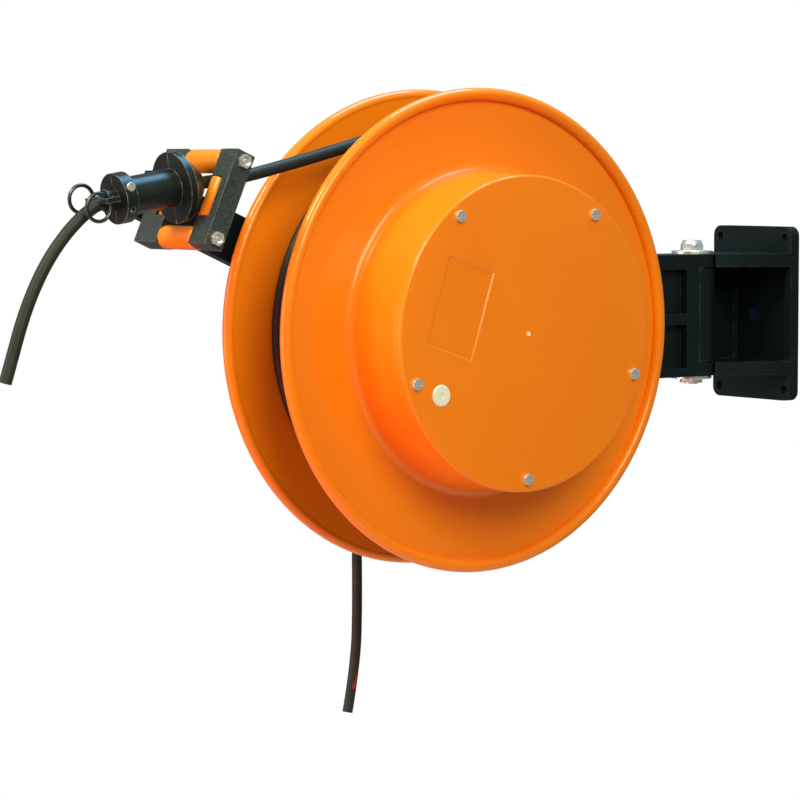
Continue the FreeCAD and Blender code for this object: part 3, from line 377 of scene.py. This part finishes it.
# %% All finishes by slot
finishes = {
    "orange_paint": orange_paint(),
    "black_casting": black_casting(),
    "cable_rubber": jacket("cable_rubber", 0.7)[0].material,
    "zinc_steel": metal("zinc_steel", (0.80, 0.84, 0.86), (0.94, 0.97, 0.98), 0.24, 900, 0.10, 0.85),
    "bright_steel": metal("bright_steel", (0.66, 0.67, 0.68), (0.80, 0.80, 0.80), 0.10, 1500, 0.06),
    "spring_steel": metal("spring_steel", (0.05, 0.055, 0.06), (0.12, 0.125, 0.13), 0.26, 1100, 0.10),
    "brass": metal("brass", (0.60, 0.40, 0.14), (0.80, 0.58, 0.24), 0.20, 900, 0.08),
    "bronze": metal("bronze", (0.38, 0.22, 0.09), (0.58, 0.38, 0.18), 0.34, 700, 0.14),
    "carbon": plastic("carbon", (0.010, 0.010, 0.011), (0.035, 0.035, 0.037), 0.50, 900, 0.20),
    # the stop and the guide brackets get pale edges: partly wear, partly a painted highlight
    "black_plastic": plastic("black_plastic", (0.002, 0.005, 0.005), (0.012, 0.018, 0.018), 0.26, 520,
                             0.3, 1.0, (0.50, 0.55, 0.55), 0.3, 0.2),
    "guide_plastic": plastic("guide_plastic", (0.002, 0.004, 0.006), (0.062, 0.084, 0.098), 0.42, 480,
                             0.8, 1.0, (0.42, 0.46, 0.48), 0.3, 0.16),
    "orange_plastic": plastic("orange_plastic", (0.80, 0.19, 0.004), (0.92, 0.27, 0.008), 0.16, 300, 0.05),
    "white_plastic": plastic("white_plastic", (0.72, 0.70, 0.64), (0.86, 0.84, 0.79), 0.26, 500, 0.08),
    "blue_plastic": plastic("blue_plastic", (0.004, 0.012, 0.060), (0.010, 0.022, 0.10), 0.35, 600, 0.10),
    "grey_plastic": plastic("grey_plastic", (0.16, 0.165, 0.17), (0.24, 0.245, 0.25), 0.36, 800, 0.15),
    "insulator": plastic("insulator", (0.20, 0.08, 0.04), (0.34, 0.15, 0.08), 0.34, 600, 0.12),
}
slot_of = {part["node"]: part["material_slot"] for part in frame["record"]["subparts"]}
for name, node in nodes.items():
    node.data.materials.clear()
    node.data.materials.append(finishes[slot_of[name]])
print(len(finishes), "finishes on", len(nodes), "pieces")


# %% [markdown]
# ## Cables
# A cable is one smooth line with a round section. The drum holds about eighteen metres of it in three
# layers of seven turns, each turn a flat ring with a short step across to the next.

# %% One cord along its route
CABLE, SUPPLY = 0.0102, 0.009


def cord(name, points, diameter, body, replaced, material):
    """A smooth line that is pulled towards its control points, thickened to a round cable."""
    line = bpy.data.curves.new(name, "CURVE")
    line.dimensions = "3D"
    line.bevel_depth = diameter / 2
    line.bevel_resolution = 5
    line.use_fill_caps = True
    spline = line.splines.new("NURBS")
    spline.points.add(len(points) - 1)
    spline.points.foreach_set("co", np.column_stack([points, np.ones(len(points))]).ravel())
    spline.order_u = 3
    spline.use_endpoint_u = True
    line.resolution_u = 8 if len(points) < 60 else 3
    line.materials.append(material)
    made = bpy.data.objects.new(name, line)
    bpy.context.scene.collection.objects.link(made)
    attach(made, body)
    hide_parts(*replaced)
    print(name, len(points), "points")
    return made


# %% From the drum through the guide and the stop
LEAVES_COIL = (-40.007, 166.048, 66.0)
run_route = reel([LEAVES_COIL, (-200.0, 127.5, 83.8), (-251.669, 123.593, 89.4),
                  (-345.0, 108.8, 89.4), (-359.5, 100.2, 89.4), (-371.5, 90.0, 89.4),
                  (-383.0, 77.8, 89.4), (-393.5, 64.0, 89.4), (-402.8, 48.6, 89.4),
                  (-410.9, 32.0, 89.4), (-418.2, 13.6, 89.4), (-424.4, -6.0, 89.4),
                  (-431.6, -28.0, 89.4)])
cable = cord("cable", run_route, CABLE, "arm", ["cable_run"], finishes["cable_rubber"])

# %% The supply cable below the terminal box
supply_route = reel([(-2.0, -66.0, -50.0), (-1.4, -120.0, -49.5), (-2.6, -185.0, -50.0),
                     (-1.6, -245.0, -50.5), (-3.6, -296.0, -50.0), (-12.7, -339.3, -50.0)])
supply = cord("supply_lead", supply_route, SUPPLY, "arm", ["supply_cable"], marked_rubber())

# %% The wound cable
LAYERS, TURNS, PITCH = 3, 7, 10.2
FIRST_RADIUS, FIRST_LEVEL = 133.1, 49.2
START, SHIFT, TOP_RADIUS, LEAVE_ANGLE = 270.0, 60.0, 165.0, 103.547
STEP = 15.0
HALF_STEP = math.radians(STEP / 2)


def winding():
    """Stations of the winding: angle, radius and level wherever the cable's lie changes.

    Each turn stays level for 300 degrees and steps to its neighbour over 60. At the end of a layer the
    step goes outwards instead, a diameter further from the axis, and the layer runs back again."""
    angle, stations = START, []
    levels = FIRST_LEVEL + PITCH * np.arange(TURNS)
    for layer in range(LAYERS):
        order = levels if layer % 2 else levels[::-1]
        for turn, level in enumerate(order):
            whole = turn not in (0, TURNS - 1) or (layer, turn) == (0, 0)
            for place in (angle, angle + 360 - (SHIFT if whole else 2 * SHIFT)):
                stations.append((place, FIRST_RADIUS + PITCH * layer, level))
            angle = stations[-1][0] + SHIFT
    leave = 360 * math.ceil((angle - LEAVE_ANGLE) / 360) + LEAVE_ANGLE
    stations += [(angle, TOP_RADIUS, levels[0]), (leave - SHIFT, TOP_RADIUS, levels[0]),
                 (leave, math.hypot(*LEAVES_COIL[:2]), LEAVES_COIL[2])]
    return np.array(stations).T


def wound_points():
    """Points every few degrees round the drum; the radius is let out so that the smooth line, which
    cuts inside its points by the cosine of half a step, runs at the true radius."""
    angles, radii, levels = winding()
    count = round((angles[-1] - angles[0]) / STEP)
    places = np.linspace(angles[0], angles[-1], count + 1)
    turn = np.radians(places)
    out = np.interp(places, angles, radii) / math.cos(HALF_STEP)
    points = np.stack([out * np.cos(turn), out * np.sin(turn), np.interp(places, angles, levels)], -1)
    points[-1] = LEAVES_COIL
    return reel(points)


coil_points = wound_points()
wound = float(np.linalg.norm(np.diff(coil_points, axis=0), axis=1).sum())
wound *= HALF_STEP / math.tan(HALF_STEP)  # from straight runs to the round line inside them
coil = cord("wound_cable", coil_points, CABLE, "drum", ["cable_coil"], finishes["cable_rubber"])
print("wound length", round(wound, 2), "m")


# %% [markdown]
# ## Turned shapes
# Flanges, housing, cover and rollers are all turned about an axis. One function carries an outline of
# radii and heights round its axis, so a rolled rim or a rounded edge is only a few more outline points.

# %% Outlines
def arc(radius, height, size, start, end, count):
    """Points on a circle of the given size from one angle to another, as radii and heights."""
    turn = np.radians(np.linspace(start, end, count))
    return np.stack([radius + size * np.cos(turn), height + size * np.sin(turn)], -1)


def eased(before, corner, after, size, count=7):
    """A corner rounded by an arc that touches both its sides.

    The arc starts size / tan(half the angle) away from the corner, and its centre lies on the line that
    halves the angle. Directions from the centre turn evenly from the first touching point to the last."""
    before, corner, after = (np.array(p, float) for p in (before, corner, after))
    back, on = before - corner, after - corner
    back, on = back / np.linalg.norm(back), on / np.linalg.norm(on)
    half = math.acos(float(back @ on)) / 2
    centre = corner + (back + on) / np.linalg.norm(back + on) * size / math.sin(half)
    start = corner + back * size / math.tan(half) - centre
    end = corner + on * size / math.tan(half) - centre
    sweep = math.pi - 2 * half
    share = np.linspace(0, 1, count)[:, None]
    return centre + (np.sin((1 - share) * sweep) * start + np.sin(share * sweep) * end) / math.sin(sweep)


def outline(corners):
    """A closed outline from (radius, height, rounding) corners."""
    points = []
    for index, (radius, height, size) in enumerate(corners):
        here = (radius, height)
        before, after = corners[index - 1][:2], corners[(index + 1) % len(corners)][:2]
        points.append(eased(before, here, after, size) if size else np.array([here], float))
    return np.concatenate(points)


# %% Surfaces from grids
def closed_mesh(name, points, faces):
    """A mesh with doubled points merged and every face turned outwards."""
    mesh = bpy.data.meshes.new(name)
    mesh.from_pydata(points.reshape(-1, 3).tolist(), [], faces.tolist())
    shape = bmesh.new()
    shape.from_mesh(mesh)
    bmesh.ops.remove_doubles(shape, verts=shape.verts, dist=1e-6)
    bmesh.ops.recalc_face_normals(shape, faces=shape.faces)
    shape.to_mesh(mesh)
    shape.free()
    return mesh


def grid_faces(rows, columns):
    """Quads of a grid whose rows and columns both close on themselves."""
    row, column = np.meshgrid(np.arange(rows), np.arange(columns), indexing="ij")
    on, over = (row + 1) % rows, (column + 1) % columns
    corners = [row * columns + column, row * columns + over, on * columns + over, on * columns + column]
    return np.stack(corners, -1).reshape(-1, 4)


def turned(name, profile, origin, axis, around):
    """A closed outline carried round an axis.

    Each point is its radius times a turning direction, plus its height times the axis."""
    axis = np.array(axis, float) / np.linalg.norm(axis)
    side = np.cross(axis, [0.0, 0.0, 1.0] if abs(axis[2]) < 0.9 else [1.0, 0.0, 0.0])
    side /= np.linalg.norm(side)
    third = np.cross(axis, side)
    turn = np.linspace(0, 2 * np.pi, around, endpoint=False)[None, :, None]
    radius, height = profile[:, None, :1] * MM, profile[:, None, 1:] * MM
    points = np.array(origin) + radius * (np.cos(turn) * side + np.sin(turn) * third) + height * axis
    return closed_mesh(name, points, grid_faces(len(profile), around))


def piece(name, mesh, body, slot, replaced=(), sharp=30.0):
    """An object around a mesh: smooth but for its sharp edges, with its body, slot and finish."""
    mesh.materials.append(finishes[slot])
    mesh.shade_smooth()
    made = bpy.data.objects.new(name, mesh)
    bpy.context.scene.collection.objects.link(made)
    mesh.set_sharp_from_angle(angle=math.radians(sharp))
    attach(made, body)
    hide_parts(*replaced)
    print(name, len(mesh.polygons), "faces")
    return made


# %% [markdown]
# ## Drum
# Each half is one disc of 3 mm sheet with a bead rolled outwards at its rim. The back half carries the
# winding core and the front half the spring housing, which swells into its disc.

# %% Sizes of the drum
AXLE_POINT, FORWARD = (REEL_X, 0.0, REEL_Z), (0.0, -1.0, 0.0)
BACK_PLATE, FRONT_PLATE, SHEET = 43.6, 116.0, 3.0
BEAD_PITCH, BEAD, BEAD_SINK, BEAD_STEPS = 194.8, 5.2, 1.8, 29
BACK_CURL, FRONT_CURL = (106.7, -197.6), (200.1, -106.7)
FLAT_END, FLAT_OUTSIDE_END = BEAD_PITCH - 1.8, BEAD_PITCH - 6.2
CORE, HUB, SEAT, SEAT_DEEP = 128.0, 24.5, 18.5, 7.0
HOUSING_FOOT, HOUSING, HOUSING_TOP, HOUSING_ROUND = 131.2, 128.8, 180.4, 9.0
ROUND_STEPS = 288

# %% Back flange and core
bead_back = BACK_PLATE - SHEET - BEAD_SINK
back_profile = np.concatenate([
    outline([(SEAT, BACK_PLATE - SHEET, 0), (SEAT, BACK_PLATE + SEAT_DEEP, 0.6),
             (HUB, BACK_PLATE + SEAT_DEEP, 0.6), (HUB, BACK_PLATE, 2.0), (CORE - SHEET, BACK_PLATE, 2.0),
             (CORE - SHEET, FRONT_PLATE, 0), (CORE, FRONT_PLATE, 0), (CORE, BACK_PLATE, 0.8),
             (FLAT_END, BACK_PLATE, 0)]),
    arc(BEAD_PITCH, bead_back, BEAD, *BACK_CURL, BEAD_STEPS)])
back_disc = turned("back_flange", back_profile, AXLE_POINT, FORWARD, ROUND_STEPS)
piece("back_flange", back_disc, "drum", "orange_paint", ["drum_back"])

# %% Front flange and spring housing
bead_front = FRONT_PLATE + SHEET + BEAD_SINK
front_out = FRONT_PLATE + SHEET
front_profile = np.concatenate([
    arc(BEAD_PITCH, bead_front, BEAD, *FRONT_CURL, BEAD_STEPS),
    outline([(FLAT_END, FRONT_PLATE, 0), (HUB, FRONT_PLATE, 1.0),
             (HUB, FRONT_PLATE - SEAT_DEEP, 0.6), (SEAT, FRONT_PLATE - SEAT_DEEP, 0.6),
             (SEAT, front_out, 0), (HOUSING - SHEET, front_out, 2.0), (HOUSING - SHEET, HOUSING_TOP, 0),
             (HOUSING, HOUSING_TOP, 0), (HOUSING_FOOT, front_out, HOUSING_ROUND),
             (FLAT_OUTSIDE_END, front_out, 0)])])
front_disc = turned("front_flange", front_profile, AXLE_POINT, FORWARD, ROUND_STEPS)
piece("front_flange", front_disc, "drum", "orange_paint", ["drum_front"])

# %% [markdown]
# ## Cover
# The cover closes the spring housing. Its label field is a shallow pressed rectangle, cut out of the
# disc with a tapered block, so that the field's edges catch the light.

# %% Cover disc and its label field
COVER_ROUND, COVER_FRONT = 2.2, HOUSING_TOP + 3.0
LABEL_PITCH, LABEL_ANGLE, LABEL_WIDE, LABEL_LONG = 72.5, 162.0, 46.0, 72.0
LABEL_DEEP, LABEL_SLOPE = 0.7, 1.1


def tapered_block(centre, angle, wide, long, low, high, slope):
    """A block in the reel's frame whose upper outline is wider than its lower one by the slope."""
    corners = np.array([(-1, -1), (1, -1), (1, 1), (-1, 1)], float)
    levels = [(low, 0.0), (high, slope * (high - low) / LABEL_DEEP)]
    turn = math.radians(angle)
    spin = np.array([[math.cos(turn), math.sin(turn)], [-math.sin(turn), math.cos(turn)]])
    rings = [np.column_stack([corners * (wide / 2 + grow, long / 2 + grow) @ spin + centre,
                              np.full(4, level)]) for level, grow in levels]
    points = reel(np.concatenate(rings))
    faces = [(0, 3, 2, 1), (4, 5, 6, 7)] + [(i, (i + 1) % 4, (i + 1) % 4 + 4, i + 4) for i in range(4)]
    return closed_mesh("label_block", points, np.array(faces))


def carve(target, tool_mesh):
    """Cut a closed mesh out of a piece for good."""
    tool = bpy.data.objects.new("tool", tool_mesh)
    bpy.context.scene.collection.objects.link(tool)
    cutter = target.modifiers.new("carve", "BOOLEAN")
    cutter.object, cutter.operation, cutter.solver = tool, "DIFFERENCE", "EXACT"
    carved = bpy.data.meshes.new_from_object(target.evaluated_get(bpy.context.evaluated_depsgraph_get()))
    target.modifiers.clear()
    target.data = carved
    bpy.data.objects.remove(tool)


cover_profile = outline([(0, HOUSING_TOP, 0), (HOUSING, HOUSING_TOP, 0),
                         (HOUSING, COVER_FRONT, COVER_ROUND), (0, COVER_FRONT, 0)])
cover = piece("cover", turned("cover", cover_profile, AXLE_POINT, FORWARD, ROUND_STEPS),
              "drum", "orange_paint", ["spring_cover"])
label_turn = math.radians(LABEL_ANGLE)
label_centre = (LABEL_PITCH * math.cos(label_turn), LABEL_PITCH * math.sin(label_turn))
carve(cover, tapered_block(label_centre, LABEL_ANGLE - 180, LABEL_WIDE, LABEL_LONG,
                           COVER_FRONT - LABEL_DEEP, COVER_FRONT + 1.0, LABEL_SLOPE))
cover.data.set_sharp_from_angle(angle=math.radians(20))
print("cover", len(cover.data.polygons), "faces after the label field")

# %% [markdown]
# ## Rollers
# Each roller is a turned plastic sleeve with rounded ends and a shallow counterbore round its pin.

# %% Four rollers
ROLLER_RADIUS, ROLLER_ROUND = 9.5, 1.6
BORE_MOUTH, BORE_FLOOR, BORE_DEEP, BORE_ROUND = 2.6, 2.0, 1.2, 0.4
PINS = {"top": 3.05, "bottom": 3.05, "front": 2.55, "back": 2.55}


def roller(name, joint, radius, pin):
    """A sleeve about its joint's axis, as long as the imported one."""
    low, high = (np.array(corner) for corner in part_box(name))
    axis = np.abs(joints[joint]["axis"])
    main = int(axis.argmax())
    half = (high[main] - low[main]) / 2 / axis[main] / MM
    if main != 1:
        half -= radius * math.sqrt(1 - axis[main] ** 2) / axis[main]
    profile = outline([(radius, half, ROLLER_ROUND), (radius, -half, ROLLER_ROUND),
                       (pin + BORE_MOUTH, -half, BORE_ROUND), (pin + BORE_FLOOR, BORE_DEEP - half, 0),
                       (pin, BORE_DEEP - half, 0), (pin, half - BORE_DEEP, 0),
                       (pin + BORE_FLOOR, half - BORE_DEEP, 0), (pin + BORE_MOUTH, half, BORE_ROUND)])
    mesh = turned(name + "_sleeve", profile, joints[joint]["pos_m"], joints[joint]["axis"], 72)
    piece(name + "_sleeve", mesh, joints[joint]["child"], "orange_plastic", [name])


for name, pin in PINS.items():
    roller("roller_" + name, name + "_roller_spin", ROLLER_RADIUS, pin)

# %% [markdown]
# ## Rounded castings and mouldings
# Real castings and mouldings have no knife edges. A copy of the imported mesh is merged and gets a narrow
# bevel, so that its edges catch a line of light.

# %% Bevelled copies
def softened(node, width, segments=3, sharp=32.0):
    """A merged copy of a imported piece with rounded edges; width is in millimetres."""
    source = nodes[node].data
    places = np.empty(len(source.vertices) * 3)
    source.vertices.foreach_get("co", places)
    corners = np.empty(len(source.polygons) * 3, int)
    source.polygons.foreach_get("vertices", corners)
    mesh = bpy.data.meshes.new(node + "_rounded")
    mesh.from_pydata(places.reshape(-1, 3).tolist(), [], corners.reshape(-1, 3).tolist())
    shape = bmesh.new()
    shape.from_mesh(mesh)
    bmesh.ops.remove_doubles(shape, verts=shape.verts, dist=1e-6)
    bmesh.ops.dissolve_limit(shape, angle_limit=math.radians(0.5), verts=shape.verts, edges=shape.edges)
    shape.to_mesh(mesh)
    shape.free()
    made = piece(node + "_rounded", mesh, nodes[node]["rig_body"], slot_of[node], [node])
    bevel = made.modifiers.new("rounded_edges", "BEVEL")
    bevel.width, bevel.segments = width * MM, segments
    bevel.limit_method, bevel.angle_limit = "ANGLE", math.radians(sharp)
    bevel.harden_normals = True


ROUNDINGS = {
    "wall_bracket": 1.6, "swivel_arm": 1.6, "guide_arm": 1.0, "terminal_box": 2.0, "terminal_cover": 1.0,
    "guide_bracket_front": 1.5, "guide_bracket_back": 1.5, "stop_half_front": 0.7, "stop_half_back": 0.7,
    "ring_collar": 0.8, "hinge_bolt": 0.5, "hinge_washers": 0.4, "hinge_nut": 0.5, "cover_screws": 0.5,
    "cover_plug": 0.5, "guide_bolts": 0.4, "stop_screws": 0.3, "gland_nut": 0.6, "supply_gland": 0.6,
    "arm_bolts": 0.4, "spacer_screws": 0.4, "terminal_screws": 0.4,
}
for node, width in ROUNDINGS.items():
    softened(node, width)

# %% [markdown]
# ## Floor
# The reel hangs on a wall, so the floor is far below it: one pale sheet, lit by the lamps.

# %% Pale floor
FLOOR_DROP, FLOOR_SIZE = 0.75, 0.9
corners = np.array([(-1, -1, 0), (1, -1, 0), (1, 1, 0), (-1, 1, 0)], float) * FLOOR_SIZE
floor_mesh = bpy.data.meshes.new("floor")
floor_mesh.from_pydata((corners + (REEL_X, 0, -FLOOR_DROP)).tolist(), [], [(0, 1, 2, 3)])
pale = Paint("floor_pale", Roughness=0.8)
pale.feed(Base_Color=pale.mix(pale.noise(3), (0.50, 0.46, 0.44, 1), (0.56, 0.52, 0.50, 1)))
floor_mesh.materials.append(pale.material)
floor = bpy.data.objects.new("floor", floor_mesh)
bpy.context.scene.collection.objects.link(floor)
